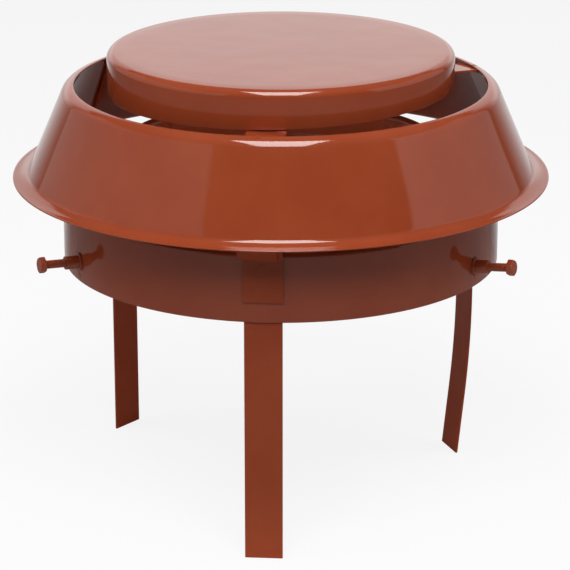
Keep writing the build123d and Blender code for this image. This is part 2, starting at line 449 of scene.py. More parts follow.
def turned_grid(tree, facets, closed):
    """A grid to wrap round Z, the outline it follows, and each vertex's outline index and turn."""
    outline = tree.start.outputs["Geometry"]
    count = tree.node("GeometryNodeAttributeDomainSize", outline).outputs["Point Count"]
    rows = tree.maths("ADD", count, closed)
    columns = tree.maths("ADD", facets, 1.0)
    row_span = tree.maths("SUBTRACT", rows, 1.0)
    grid = tree.node("GeometryNodeMeshGrid", row_span, facets, rows, columns).outputs[0]
    place = tree.node("GeometryNodeInputPosition").outputs[0]
    apart = tree.node("ShaderNodeSeparateXYZ", place)
    row = tree.maths("ROUND", tree.maths("MULTIPLY_ADD", row_span, 0.5, apart.outputs[0]))
    column = tree.maths("MULTIPLY_ADD", facets, 0.5, apart.outputs[1])
    index = tree.maths("MODULO", row, count)
    turn = tree.maths("MULTIPLY", tree.maths("DIVIDE", column, facets), 2 * pi)
    return grid, outline, index, turn


def read_outline(tree, outline, index, field, data_type):
    """A value of the outline's point for each vertex of the turned grid."""
    sockets = {"Geometry": outline, "Value": field, "Index": index}
    return tree.node("GeometryNodeSampleIndex", sockets=sockets, data_type=data_type).outputs[0]


def outline_point(tree, outline, index):
    """Radius and height of the outline's point for each vertex of the turned grid."""
    place = tree.node("GeometryNodeInputPosition").outputs[0]
    point = read_outline(tree, outline, index, place, "FLOAT_VECTOR")
    apart = tree.node("ShaderNodeSeparateXYZ", point)
    return apart.outputs[0], apart.outputs[2]


def placed(tree, grid, radius, turn, height):
    """The grid's vertices set at a radius, an azimuth and a height, with the seams closed."""
    x = tree.maths("MULTIPLY", radius, tree.maths("SINE", turn))
    y = tree.maths("MULTIPLY", radius, tree.maths("COSINE", turn))
    minus_y = tree.maths("MULTIPLY", y, -1.0)
    place = tree.node("ShaderNodeCombineXYZ", x, minus_y, height).outputs[0]
    moved = tree.node("GeometryNodeSetPosition", grid, None, place).outputs[0]
    return tree.node("GeometryNodeMergeByDistance", moved, sockets={"Distance": SEAM}).outputs[0]


def spun_sheet_tree():
    """A spinning: an outline turned about Z, with a slanted rim and a slight ripple."""
    tree = GeometryMaker("Spun sheet")
    facets = tree.size("Facets")
    closed = tree.size("Closed outline")
    slant = tree.size("Rim slant")
    azimuth = tree.size("Rim azimuth")
    rim_z = tree.size("Rim height")
    wall_top_z = tree.size("Wall top")
    ripple = tree.size("Ripple")
    material = tree.size("Material", "Material")

    # The rim's slant fades out up the wall
    grid, outline, index, turn = turned_grid(tree, facets, closed)
    radius, height = outline_point(tree, outline, index)
    down_wall = tree.node("ShaderNodeMapRange", height, wall_top_z, rim_z, 0.0, 1.0).outputs[0]
    lean = tree.maths("COSINE", tree.maths("SUBTRACT", turn, azimuth))
    rise = tree.maths("MULTIPLY", tree.maths("MULTIPLY", radius, lean), slant)
    slanted = tree.maths("MULTIPLY_ADD", rise, down_wall, height)
    turned = placed(tree, grid, radius, turn, slanted)

    # The ripple moves the sheet out from the axis and in
    place = tree.node("GeometryNodeInputPosition").outputs[0]
    waves = {"Vector": place, "Scale": RIPPLES_A_METRE, "Detail": 1.0}
    noise = tree.node("ShaderNodeTexNoise", sockets=waves).outputs[0]
    uneven = tree.maths("MULTIPLY", tree.maths("SUBTRACT", noise, 0.5), ripple)
    level = tree.node("ShaderNodeVectorMath", place, (1.0, 1.0, 0.0), operation="MULTIPLY")
    radial = tree.node("ShaderNodeVectorMath", level.outputs[0], operation="NORMALIZE")
    shift = tree.node(
        "ShaderNodeVectorMath", radial.outputs[0], operation="SCALE", sockets={"Scale": uneven}
    )
    rippled = tree.node("GeometryNodeSetPosition", turned, None, None, shift.outputs[0])
    return tree.finish(rippled.outputs[0], material)


def turned_hardware_tree():
    """A screw or a boss: an outline turned about Z, with a thread and a six-sided head."""
    tree = GeometryMaker("Turned hardware")
    facets = tree.size("Facets")
    closed = tree.size("Closed outline")
    pitch = tree.size("Thread pitch")
    depth = tree.size("Thread depth")
    material = tree.size("Material", "Material")

    grid, outline, index, turn = turned_grid(tree, facets, closed)
    radius, height = outline_point(tree, outline, index)
    share = {}
    for name in HARDWARE_SHARES:
        field = tree.node(
            "GeometryNodeInputNamedAttribute", data_type="FLOAT", sockets={"Name": name}
        )
        share[name] = read_outline(tree, outline, index, field.outputs[0], "FLOAT")

    # The thread: a ridge that climbs one pitch in each turn
    turns = tree.maths("DIVIDE", turn, 2 * pi)
    climb = tree.maths("SUBTRACT", tree.maths("DIVIDE", height, pitch), turns)
    wave = tree.maths("COSINE", tree.maths("MULTIPLY", climb, 2 * pi))
    groove = tree.maths("MULTIPLY", tree.maths("MULTIPLY_ADD", wave, -0.5, 0.5), depth)
    cut = tree.maths("MULTIPLY", groove, share["threaded"])
    threaded_radius = tree.maths("SUBTRACT", radius, cut)

    # The head: each sixth of the turn runs along a flat, and paint rounds the corners
    sixth = tree.maths("MODULO", tree.maths("ADD", turn, pi / 6), pi / 3)
    from_flat = tree.maths("SUBTRACT", sixth, pi / 6)
    beyond = tree.maths("SUBTRACT", tree.maths("DIVIDE", 1.0, tree.maths("COSINE", from_flat)), 1.0)
    to_corner = tree.maths("SMOOTH_MIN", beyond, HEAD_CORNER, HEAD_CORNER_ROUND)
    stretch = tree.maths("MULTIPLY_ADD", to_corner, share["six_sided"], 1.0)
    full_radius = tree.maths("MULTIPLY", threaded_radius, stretch)
    dropped = tree.maths("MULTIPLY", tree.maths("MULTIPLY", radius, to_corner), share["corner_drop"])
    full_height = tree.maths("SUBTRACT", height, dropped)
    return tree.finish(placed(tree, grid, full_radius, turn, full_height), material)


def folded_strip_tree():
    """A strip folded along a line in the XZ plane, skewed in its own plane and turned to its place."""
    tree = GeometryMaker("Folded strip")
    width = tree.size("Width")
    thickness = tree.size("Thickness")
    skew = tree.size("Skew")
    skew_z = tree.size("Skew height")
    turn = tree.size("Turn")
    material = tree.size("Material", "Material")

    line = tree.node("GeometryNodeMeshToCurve", tree.start.outputs["Geometry"]).outputs[0]
    flat = tree.node("GeometryNodeSetCurveNormal", line, None, (0.0, 1.0, 0.0), mode="FREE")
    profile = tree.node(
        "GeometryNodeCurvePrimitiveQuadrilateral",
        mode="RECTANGLE",
        sockets={"Width": width, "Height": thickness},
    )
    swept = tree.node(
        "GeometryNodeCurveToMesh", flat.outputs[0], profile.outputs[0], sockets={"Fill Caps": True}
    )

    # A leg's foot stands flat on the floor
    place = tree.node("ShaderNodeSeparateXYZ", tree.node("GeometryNodeInputPosition").outputs[0])
    above = tree.maths("MAXIMUM", place.outputs[2], 0.0)
    on_floor = tree.node("ShaderNodeCombineXYZ", place.outputs[0], place.outputs[1], above)
    stood = tree.node("GeometryNodeSetPosition", swept.outputs[0], None, on_floor.outputs[0])

    # The skew turns it about a level line at the skew height
    down = tree.node("ShaderNodeCombineXYZ", 0.0, 0.0, tree.maths("MULTIPLY", skew_z, -1.0))
    up = tree.node("ShaderNodeCombineXYZ", 0.0, 0.0, skew_z)
    about_x = tree.node("ShaderNodeCombineXYZ", tree.maths("MULTIPLY", skew, -1.0), 0.0, 0.0)
    about_z = tree.node("ShaderNodeCombineXYZ", 0.0, 0.0, turn)
    moved = stood.outputs[0]
    for step in (
        {"Translation": down.outputs[0]},
        {"Translation": up.outputs[0], "Rotation": about_x.outputs[0]},
        {"Rotation": about_z.outputs[0]},
    ):
        moved = tree.node("GeometryNodeTransform", moved, sockets=step).outputs[0]
    return tree.finish(moved, material, crease=pi)


def spot_weld_tree():
    """A mark at each point, facing the way that the point says."""
    tree = GeometryMaker("Spot welds")
    mark = tree.size("Mark", "Object")
    material = tree.size("Material", "Material")
    shape = tree.node("GeometryNodeObjectInfo", mark).outputs["Geometry"]
    facing = tree.node(
        "GeometryNodeInputNamedAttribute", data_type="FLOAT_VECTOR", sockets={"Name": "facing"}
    )
    aligned = tree.node(
        "FunctionNodeAlignRotationToVector", axis="Z", sockets={"Vector": facing.outputs[0]}
    )
    points = tree.node("GeometryNodeMeshToPoints", tree.start.outputs["Geometry"]).outputs[0]
    spots = tree.node(
        "GeometryNodeInstanceOnPoints",
        points,
        sockets={"Instance": shape, "Rotation": aligned.outputs[0]},
    )
    return tree.finish(spots.outputs[0], material)


# Objects


def in_scene(name, data):
    """A new object that holds the data, in the scene."""
    made = bpy.data.objects.new(name, data)
    bpy.context.scene.collection.objects.link(made)
    return made


def outline_object(name, points, closed, **attributes):
    """A mesh of points joined in order in the XZ plane, with a value at each point if given."""
    mesh = bpy.data.meshes.new(name)
    edges = [(index, index + 1) for index in range(len(points) - 1)]
    if closed:
        edges.append((len(points) - 1, 0))
    mesh.from_pydata([(point.x, 0.0, point.y) for point in points], edges, [])
    for attribute, values in attributes.items():
        mesh.attributes.new(attribute, "FLOAT", "POINT").data.foreach_set("value", values)
    return in_scene(name, mesh)


def plain_copy(source):
    """A plain object with the source's evaluated mesh, facing outwards; the source goes."""
    bpy.context.view_layer.update()
    evaluated = source.evaluated_get(bpy.context.evaluated_depsgraph_get())
    mesh = bpy.data.meshes.new_from_object(evaluated)
    if not mesh.polygons:
        raise RuntimeError("no faces were made for " + source.name)
    shell = bmesh.new()
    shell.from_mesh(mesh)
    inside_out = shell.calc_volume(signed=True) < 0
    shell.free()
    if inside_out:
        mesh.flip_normals()
    name = source.name
    bpy.data.objects.remove(source)
    mesh.name = name
    return in_scene(name, mesh)


def run_tree(source, tree, inputs, edge=0.0):
    """Runs a node tree on an object, rounds its corners if asked, and returns a plain object."""
    modifier = source.modifiers.new(tree.name, "NODES")
    modifier.node_group = tree
    sockets = {item.name: item for item in tree.interface.items_tree if item.in_out == "INPUT"}
    for name, value in inputs.items():
        modifier[sockets[name].identifier] = value
    source.update_tag()
    if edge:
        rounded = source.modifiers.new("Painted edges", "BEVEL")
        rounded.width = edge
        rounded.segments = BEVEL_STEPS
        rounded.limit_method = "ANGLE"
        rounded.angle_limit = CREASE
        rounded.harden_normals = True
    return plain_copy(source)


def cut_by(piece, cutter):
    """The piece with another object's shape cut out of it; the cutter goes."""
    cut = piece.modifiers.new("Cut", "BOOLEAN")
    cut.operation = "DIFFERENCE"
    cut.object = cutter
    cut.solver = "EXACT"
    made = plain_copy(piece)
    bpy.data.objects.remove(cutter)
    return made


def cylinders(name, places, radius, height):
    """An object of cylinders that stand along Z in each of the given frames."""
    shape = bmesh.new()
    round_bar = {"segments": CUTTER_FACETS, "radius1": radius, "radius2": radius, "depth": height}
    for place in places:
        bmesh.ops.create_cone(shape, cap_ends=True, matrix=place, **round_bar)
    mesh = bpy.data.meshes.new(name)
    shape.to_mesh(mesh)
    shape.free()
    return in_scene(name, mesh)


def node_group(name, build):
    """A node tree by name, built once."""
    return bpy.data.node_groups.get(name) or build()


def settle(piece, body, *nodes):
    """Puts a finished piece on its body in place of its CAD nodes."""
    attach(piece, body)
    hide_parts(*nodes)


# Paint

# The enamel's noises: waves a metre, and detail
COAT_NOISE = (22.0, 3.0)
DUST_NOISE = (1500.0, 2.0)
SHEEN_NOISE = (40.0, 4.0)
WAVE_NOISE = (26.0, 1.0)
PEEL_NOISE = (480.0, 1.0)
POOLED_PEEL_NOISE = (620.0, 1.0)

# Two levels of a noise, and what shows at them: how much thin coat, how much dust, how rough
THIN_COAT = (0.38, 0.68, 0.0, 0.6)
DUST = (0.69, 0.78, 0.0, 0.35)
SHEEN = (0.3, 0.7, 0.05, 0.085)

# The enamel's own shine, and its bumps
ENAMEL_IOR = 1.52
WAVE_STRENGTH = 0.25
WAVE_DEPTH = 0.6 * MM
PEEL_DEPTH = 0.03 * MM

# Faces that point inwards past this get the inside's paint, and pointing down counts in part
INWARDS = -0.3
DOWN_COUNTS = 0.5


def new_material(name):
    """A material with a Principled shader, and what adds nodes to it."""
    material = bpy.data.materials.new(name)
    material.use_nodes = True
    tree = ShaderMaker(material.node_tree)
    return material, tree, material.node_tree.nodes["Principled BSDF"]


def enamel(name, peel=0.5, peel_noise=PEEL_NOISE, gloss=0.5):
    """Gloss enamel over steel: orange peel, faint sheet waves, thin and thick coat, fine dust."""
    found = bpy.data.materials.get(name)
    if found:
        return found
    paint = settings().paint
    material, tree, shader = new_material(name)
    shader.inputs["IOR"].default_value = ENAMEL_IOR
    shader.inputs["Specular IOR Level"].default_value = gloss
    place = tree.node("ShaderNodeTexCoord").outputs["Object"]

    def noise(scale, detail):
        sockets = {"Vector": place, "Scale": scale, "Detail": detail}
        return tree.node("ShaderNodeTexNoise", sockets=sockets).outputs["Fac"]

    def bump(strength, depth, height, under=None):
        sockets = {"Strength": strength, "Distance": depth, "Height": height, "Normal": under}
        return tree.node("ShaderNodeBump", sockets=sockets).outputs[0]

    thin = tree.ramp(noise(*COAT_NOISE), *THIN_COAT)
    coat = tree.mixed(thin, (*paint.terracotta, 1), (*paint.thin_coat, 1))
    specks = tree.ramp(noise(*DUST_NOISE), *DUST)
    tree.feed(shader.inputs["Base Color"], tree.mixed(specks, coat, (*paint.dust, 1)))
    tree.feed(shader.inputs["Roughness"], tree.ramp(noise(*SHEEN_NOISE), *SHEEN))

    # Orange peel on top of long, faint waves of the sheet
    waves = bump(WAVE_STRENGTH, WAVE_DEPTH, noise(*WAVE_NOISE))
    skin = bump(peel, PEEL_DEPTH, noise(*peel_noise), waves)
    tree.feed(shader.inputs["Normal"], skin)
    return material


def sheet_paint():
    """Paint on the outside of the spinnings."""
    return enamel("terracotta_enamel_outside")


def inside_paint():
    """The thinner, duller coat that the spray left inside the spinnings."""
    return enamel("terracotta_enamel_inside", gloss=0.1)


def strip_paint():
    """The duller coat on the flat strips and their spot welds."""
    return enamel("terracotta_enamel_on_strip", gloss=0.2)


def hardware_paint():
    """Thicker paint, pooled on the screws and bosses."""
    return enamel("terracotta_enamel_on_hardware", peel=0.6, peel_noise=POOLED_PEEL_NOISE)


# Spinnings


def spin(name, corners, radii, slanted=False, holes=None):
    """One spinning in place of the CAD node of the same name."""
    sizes = settings().spinning
    outline = sheet_section(corners, radii, sizes.sheet, sizes.trimmed_edge)
    closed = outline[0].x > sizes.sheet
    if closed:
        outline = divided(outline + [outline[0]], LONGEST_RUN)[:-1]
    else:
        outline = divided(outline, LONGEST_RUN)
    source = outline_object(name + "_spun", outline, closed)
    inputs = {
        "Facets": float(SHEET_FACETS),
        "Closed outline": 1.0 if closed else 0.0,
        "Rim slant": tan(sizes.rim_slant) if slanted else 0.0,
        "Rim azimuth": sizes.rim_azimuth,
        "Rim height": cap_top_z - sizes.cap_wall,
        "Wall top": cap_top_z - sizes.cap_corner,
        "Ripple": sizes.ripple,
        "Material": sheet_paint(),
    }
    piece = run_tree(source, node_group("Spun sheet", spun_sheet_tree), inputs)
    if holes:
        piece = cut_by(piece, holes)
    paint_inside(piece)
    settle(piece, "cowl", name)
    return piece


def paint_inside(piece):
    """Gives the faces that look towards the axis or down the inside's paint."""
    piece.data.materials.append(inside_paint())
    for face in piece.data.polygons:
        outward = Vector((face.center.x, face.center.y, 0.0)).normalized()
        if face.normal.dot(outward) + face.normal.z * DOWN_COUNTS < INWARDS:
            face.material_index = 1


class CowlPiece:
    """What the operators share"""

    bl_options = {"REGISTER", "UNDO"}


class COWL_OT_base(CowlPiece, bpy.types.Operator):
    """Spin the base: skirt, shoulder, cone and throat"""

    bl_idname = "cowl.base"
    bl_label = "Base"

    def execute(self, context):
        sizes = settings().spinning
        shoulder_z = skirt_foot_z + sizes.skirt_height
        throat_radius = skirt_radius - sizes.throat_run
        corners = [
            (skirt_radius, skirt_foot_z),
            (skirt_radius, shoulder_z),
            (throat_radius, throat_top_z - sizes.throat_collar),
            (throat_radius, throat_top_z),
        ]
        screw = settings().screw
        frames = [screw_frame(side) for side in SCREWS]
        bore = screw.shank + screw.hole_clearance
        holes = cylinders("skirt_holes", frames, bore, 8 * sizes.sheet)
        spin("base", corners, [sizes.skirt_corner, sizes.throat_corner], holes=holes)
        return {"FINISHED"}


class COWL_OT_deflector(CowlPiece, bpy.types.Operator):
    """Spin the deflector: flange, fillet, cone, shoulder and lip"""

    bl_idname = "cowl.deflector"
    bl_label = "Deflector"

    def execute(self, context):
        sizes = settings().spinning
        flange_z = flange_under_z + sizes.sheet
        cone_foot = flange_radius - sizes.flange_width
        cone_top = cone_foot - (lip_z - flange_z) * tan(sizes.cone_angle)
        risen_x = cone_foot - sizes.rise_height * tan(sizes.cone_angle)
        corners = [
            (flange_radius, flange_z),
            (cone_foot + sizes.rise_run, flange_z),
            (risen_x, flange_z + sizes.rise_height),
            (cone_top, lip_z),
            (cone_top - sizes.lip_width, lip_z),
        ]
        spin("deflector", corners, [sizes.flange_sweep, sizes.flange_fillet, sizes.shoulder])
        return {"FINISHED"}


class COWL_OT_cap(CowlPiece, bpy.types.Operator):
    """Spin the cap, with its rim cut on a slant"""

    bl_idname = "cowl.cap"
    bl_label = "Cap"

    def execute(self, context):
        sizes = settings().spinning
        corners = [
            (cap_radius, cap_top_z - sizes.cap_wall),
            (cap_radius, cap_top_z),
            (0.0, cap_top_z),
        ]
        spin("cap", corners, [sizes.cap_corner], slanted=True)
        return {"FINISHED"}


# Strips


def flat_seat(inner_radius, width):
    """How far from the axis a flat strip's face lies when its edges touch a round wall."""
    return sqrt(inner_radius**2 - (width / 2) ** 2) - settings().strip.weld_gap


def cone_wall(z):
    """Radius of the deflector's inner face at a height on its cone."""
    sizes = settings().spinning
    cone_foot = flange_radius - sizes.flange_width
    rise = z - flange_under_z - sizes.sheet
    return cone_foot - rise * tan(sizes.cone_angle) - sizes.sheet / cos(sizes.cone_angle)


def rim_height(azimuth):
    """Height of the cap's slanted rim at an azimuth."""
    sizes = settings().spinning
    along_slant = cap_radius * cos(azimuth - sizes.rim_azimuth)
    return cap_top_z - sizes.cap_wall + along_slant * tan(sizes.rim_slant)


def set_azimuth(side):
    """Azimuth of one of the three sets of strip."""
    return getattr(settings().place, "set_" + side)


def clip_face():
    """Radius of the clips' outer face."""
    return skirt_radius + settings().strip.weld_gap + settings().strip.thickness


def clip_fold_z():
    """Height of the clips' fold."""
    return tab_foot_z + settings().strip.tab_length


def fold_strip(name, corners, radii, width, azimuth, skew=0.0, skew_z=0.0):
    """One strip in place of the CAD node of the same name, from the line of its outer face."""
    sizes = settings().strip
    corners = [Vector(corner) for corner in corners]
    middle_corners, middle_radii = beside(corners, radii, sizes.thickness / 2)
    line = rounded_line(middle_corners, middle_radii, ARC_STEPS)
    source = outline_object(name + "_folded", line, closed=False)
    inputs = {
        "Width": width,
        "Thickness": sizes.thickness,
        "Skew": skew,
        "Skew height": skew_z,
        "Turn": azimuth - pi / 2,
        "Material": strip_paint(),
    }
    tree = node_group("Folded strip", folded_strip_tree)
    piece = run_tree(source, tree, inputs, edge=sizes.edge)
    settle(piece, "cowl", name)
    return piece


class COWL_OT_legs(CowlPiece, bpy.types.Operator):
    """Cut the three legs, one of them bent inwards by hand"""

    bl_idname = "cowl.legs"
    bl_label = "Legs"

    def execute(self, context):
        sizes, bent = settings().strip, settings().bent
        face = flat_seat(skirt_radius - settings().spinning.sheet, sizes.leg_width)
        top = (face, skirt_foot_z + sizes.leg_in_skirt)
        for side in ("front", "left"):
            corners = [(face, 0.0), top]
            fold_strip("leg_" + side, corners, [], sizes.leg_width, set_azimuth(side))

        # The bent leg's line starts just below the floor, and its tree levels it there
        below = -0.1 * MM
        bent_face = face - bent.joggle_depth
        joggle_top_z = skirt_foot_z + bent.joggle_top
        corners = [
            (bent_face - (bent.curve_height - below) * tan(bent.foot_angle), below),
            (bent_face, bent.curve_height),
            (bent_face, joggle_top_z - bent.joggle_drop),
            (face, joggle_top_z),
            top,
        ]
        radii = [bent.curve, bent.joggle_bend, bent.joggle_bend]
        fold_strip("leg_right", corners, radii, sizes.leg_width, set_azimuth("right"))
        return {"FINISHED"}


class COWL_OT_clips(CowlPiece, bpy.types.Operator):
    """Fold the three clips: a tab on the skirt and a half that leans outwards"""

    bl_idname = "cowl.clips"
    bl_label = "Clips"

    def execute(self, context):
        sizes = settings().strip
        face, fold_z = clip_face(), clip_fold_z()
        out, up = sizes.lean_length * cos(sizes.lean), sizes.lean_length * sin(sizes.lean)
        corners = [(face, tab_foot_z), (face, fold_z), (face + out, fold_z + up)]
        for side in SETS:
            fold_strip("clip_" + side, corners, [sizes.fold], sizes.clip_width, set_azimuth(side))
        return {"FINISHED"}


def strap_skew_gap():
    """How far a skewed strap's middle stays off what its corners touch."""
    sizes = settings().strip
    return sizes.strap_width / 2 * sin(sizes.strap_skew) + sizes.weld_gap


def strap_top_z():
    """Height of a strap's upper face under the lip, which it is also skewed about."""
    return lip_z - settings().spinning.sheet - strap_skew_gap()


class COWL_OT_straps(CowlPiece, bpy.types.Operator):
    """Fold the three straps that run from the clips up to the cap"""

    bl_idname = "cowl.straps"
    bl_label = "Straps"

    def execute(self, context):
        sizes = settings().strip
        skewed = {"skew": sizes.strap_skew, "skew_z": strap_top_z()}
        for side in SETS:
            azimuth = set_azimuth(side)
            corners, radii = self.line(azimuth)
            fold_strip("strap_" + side, corners, radii, sizes.strap_width, azimuth, **skewed)
        return {"FINISHED"}

    def line(self, azimuth):
        """Corners and radii of a strap's outer face."""
        spun, sizes = settings().spinning, settings().strip
        across, up = cos(sizes.lean), sin(sizes.lean)
        slope = tan(spun.cone_angle)
        skew = sin(sizes.strap_skew)
        gap = strap_skew_gap()

        # The run that laps the clip's leaning half from below
        lap_x = clip_face() + (sizes.thickness + gap) * up
        lap_z = clip_fold_z() - (sizes.thickness + gap) * across
        start = (lap_x + sizes.strap_lap * across, lap_z + sizes.strap_lap * up)

        # The run up the deflector's wall, with the strip's edges just clear of the cone
        deflector_height = lip_z - flange_under_z - spun.sheet
        width_on_cone = sizes.strap_width + 2 * deflector_height * skew
        wall_gap = cone_wall(lip_z) - flat_seat(cone_wall(lip_z), width_on_cone) + gap * slope
        run = (cone_wall(lap_z) - wall_gap - lap_x) / (across + up * slope)
        foot = (lap_x + run * across, lap_z + run * up)
        top_z = strap_top_z()
        shoulder = (cone_wall(top_z) - wall_gap, top_z)

        # Inwards under the lip, down to the cap's rim where it is lower, and up inside the cap
        corners = [start, foot, shoulder]
        radii = [sizes.strap_foot_bend, sizes.strap_lip_bend]
        width_in_cap = sizes.strap_width + 2 * sizes.upturn * skew
        upturn_x = flat_seat(cap_radius - spun.sheet, width_in_cap)
        under_rim_z = min(rim_height(azimuth) - sizes.upturn_bend - gap, top_z)
        if under_rim_z < top_z:
            lip_radius = cone_wall(lip_z) + spun.sheet / cos(spun.cone_angle) - spun.lip_width
            corners.append((lip_radius - sizes.kink_offset, top_z))
            radii.append(sizes.strap_kink)
        corners += [(upturn_x, under_rim_z), (upturn_x, under_rim_z + sizes.upturn)]
        radii.append(sizes.upturn_bend)
        return corners, radii


# Where the spot welds lie, in millimetres: on a tab aside and up from its foot, and on the lip
# and the strap out from the axis, aside and down from the lip's face
TAB_SPOTS = ((-0.8, 24.5), (-8.0, 7.4))
LIP_SPOT = (145.0, -3.7, 0.08)
STRAP_SPOT = (137.0, -9.0, 1.85)
LIP_LEAN = radians(7.5)

# A spot weld's mark: steps out to its edge, how far out its rim is highest, and its sunk foot
SPOT_STEPS = 12
SPOT_RIM_OUT = 1.6
SPOT_FOOT = -0.5


class COWL_OT_spot_welds(CowlPiece, bpy.types.Operator):
    """Mark the spot welds on the tabs, the lip and the straps"""

    bl_idname = "cowl.spot_welds"
    bl_label = "Spot welds"

    def execute(self, context):
        sizes = settings().strip
        parts = [(step + 1) / SPOT_STEPS for step in range(SPOT_STEPS)]
        rim = [(part, sin(pi * part**SPOT_RIM_OUT)) for part in parts]
        points = [(0.0, 0.0), *rim, (1.0, SPOT_FOOT), (0.0, SPOT_FOOT)]
        outline = [Vector((out * sizes.spot_radius, up * sizes.spot_height)) for out, up in points]
        mark = turn_hardware("spot_mark", outline, closed=False, facets=SPOT_FACETS)

        outwards, upwards = Vector((1, 0, 0)), Vector((0, 0, 1))
        on_lip = Vector((sin(LIP_LEAN), 0, cos(LIP_LEAN)))
        spots = [
            (Vector((clip_face(), aside * MM, tab_foot_z + up * MM)), outwards)
            for aside, up in TAB_SPOTS
        ]
        for (out, aside, down), way in ((LIP_SPOT, on_lip), (STRAP_SPOT, upwards)):
            spots.append((Vector((out * MM, aside * MM, lip_z - down * MM)), way))
        places, facings = [], []
        for side in SETS:
            turned = Matrix.Rotation(set_azimuth(side) - pi / 2, 3, "Z")
            places += [turned @ place for place, facing in spots]
            facings += [turned @ facing for place, facing in spots]
        mesh = bpy.data.meshes.new("spot_welds")
        mesh.from_pydata(places, [], [])
        facing = mesh.attributes.new("facing", "FLOAT_VECTOR", "POINT")
        facing.data.foreach_set("vector", [part for vector in facings for part in vector])
        inputs = {"Mark": mark, "Material": strip_paint()}
        tree = node_group("Spot welds", spot_weld_tree)
        piece = run_tree(in_scene("spot_welds", mesh), tree, inputs)
        bpy.data.objects.remove(mark)
        settle(piece, "cowl")
        return {"FINISHED"}


# Screws and bosses

# The head's corners are chamfered at this angle, and a thread has this many points a turn
HEAD_CHAMFER = radians(30)
THREAD_POINTS = 12


def screw_frame(side):
    """A frame on the skirt's outer face, with Z running out along the screw."""
    place = settings().place
    turned = Matrix.Rotation(getattr(place, "screw_" + side) - pi / 2, 4, "Z")
    on_skirt = Matrix.Translation((skirt_radius, 0, skirt_foot_z + settings().screw.height))
    risen = Matrix.Rotation(pi / 2 - getattr(place, "rise_" + side), 4, "Y")
    return turned @ on_skirt @ risen


def turn_hardware(name, outline, closed, facets=HARDWARE_FACETS, **shares):
    """A turned piece of hardware about Z; shares say which points are threaded or six-sided."""
    sizes = settings().screw
    flat = [0.0] * len(outline)
    all_shares = {share: shares.get(share, flat) for share in HARDWARE_SHARES}
    source = outline_object(name, outline, closed, **all_shares)
    inputs = {
        "Facets": float(facets),
        "Closed outline": 1.0 if closed else 0.0,
        "Thread pitch": sizes.pitch,
        "Thread depth": sizes.thread_depth,
        "Material": hardware_paint(),
    }
    return run_tree(source, node_group("Turned hardware", turned_hardware_tree), inputs)


class COWL_OT_bosses(CowlPiece, bpy.types.Operator):
    """Turn the three bosses and fit their collars to the skirt"""

    bl_idname = "cowl.bosses"
    bl_label = "Bosses"

    def execute(self, context):
        sizes, sheet = settings().screw, settings().spinning.sheet
        bore = sizes.shank + sizes.boss_clearance
        back = -2 * sheet
        corners = [
            (bore, back),
            (sizes.collar_radius, back),
            (sizes.collar_radius, sizes.collar_thickness),
            (sizes.boss_radius, sizes.collar_thickness),
            (sizes.boss_radius, sizes.boss_length),
            (bore, sizes.boss_length),
        ]
        corners = [Vector(corner) for corner in corners]
        outline = rounded_line(corners, [sizes.paint_round] * 4, SMALL_ARC_STEPS)

        # What is inside the skirt's face goes, so the collar fits the skirt's curve
        at_skirt = [Matrix.Translation((0, 0, skirt_foot_z))]
        skirt_face = skirt_radius + settings().strip.weld_gap
        for side in SCREWS:
            name = "boss_" + side
            piece = turn_hardware(name + "_turned", outline, closed=True)
            piece.data.transform(screw_frame(side))
            piece = cut_by(piece, cylinders("skirt_face", at_skirt, skirt_face, cap_top_z))
            settle(piece, "cowl", name)
        return {"FINISHED"}


class COWL_OT_screws(CowlPiece, bpy.types.Operator):
    """Turn the three clamp screws, with their threads and six-sided heads"""

    bl_idname = "cowl.screws"
    bl_label = "Screws"

    def execute(self, context):
        sizes = settings().screw
        flat = sizes.head_flats / 2
        seat, top = sizes.screw_length, sizes.screw_length + sizes.head_height
        thread_end = seat - sizes.bare_neck
        corners = [
            (0.0, 0.0),
            (sizes.shank - sizes.tip_chamfer, 0.0),
            (sizes.shank, sizes.tip_chamfer),
            (sizes.shank, seat),
            (flat, seat),
            (flat, top),
            (0.0, top),
        ]
        corners = [Vector(corner) for corner in corners]
        small = sizes.paint_round / 2
        radii = [small, small, small, sizes.paint_round, sizes.paint_round]
        line = rounded_line(corners, radii, SMALL_ARC_STEPS)
        outline = divided(line, sizes.pitch / THREAD_POINTS)
        shares = {name: [] for name in HARDWARE_SHARES}
        for point in outline:
            on_shank = sizes.tip_chamfer / 2 < point.y < thread_end
            out = (point.x - sizes.shank) / (flat - sizes.shank)
            up = (point.y - seat) / sizes.head_height
            on_head = point.y >= seat - small
            shares["threaded"].append(1.0 if on_shank else 0.0)
            shares["six_sided"].append(max(0.0, min(1.0, out)) if on_head else 0.0)
            shares["corner_drop"].append(max(0.0, up) * tan(HEAD_CHAMFER) if out > 0.5 else 0.0)
        along = Matrix.Translation((0, 0, -sizes.tip_depth))
        for side in SCREWS:
            name = "screw_" + side
            piece = turn_hardware(name + "_turned", outline, closed=False, **shares)
            piece.data.transform(screw_frame(side) @ along)
            settle(piece, name, name)
        return {"FINISHED"}


# Studio

# The camera: its place and how far it sees in metres, its turns, and millimetres for the lens
CAMERA_DISTANCE = 1.75
CAMERA_HEIGHT = 0.7335
CAMERA_PITCH = radians(18.635)
CAMERA_AZIMUTH = radians(4.4)
CAMERA_ASIDE = radians(0.095)
CAMERA_LENS = 164.1
CAMERA_SENSOR = 36.0
CAMERA_REACH = 50.0

# The paper's front and back edges and its half widths there, and the floor, in metres
PAPER_FRONT = -0.185
PAPER_BACK = 2.2
PAPER_HALVES = (0.47, 0.6)
FLOOR_REACH = 6.0
FLOOR_BELOW = 1 * MM
FLOOR_ROUGHNESS = 0.8

# What the camera sees: how much of the floor is plain white, and the room past it, which matches
WHITE_TO_CAMERA = 0.85
ROOM_TO_CAMERA = 0.885

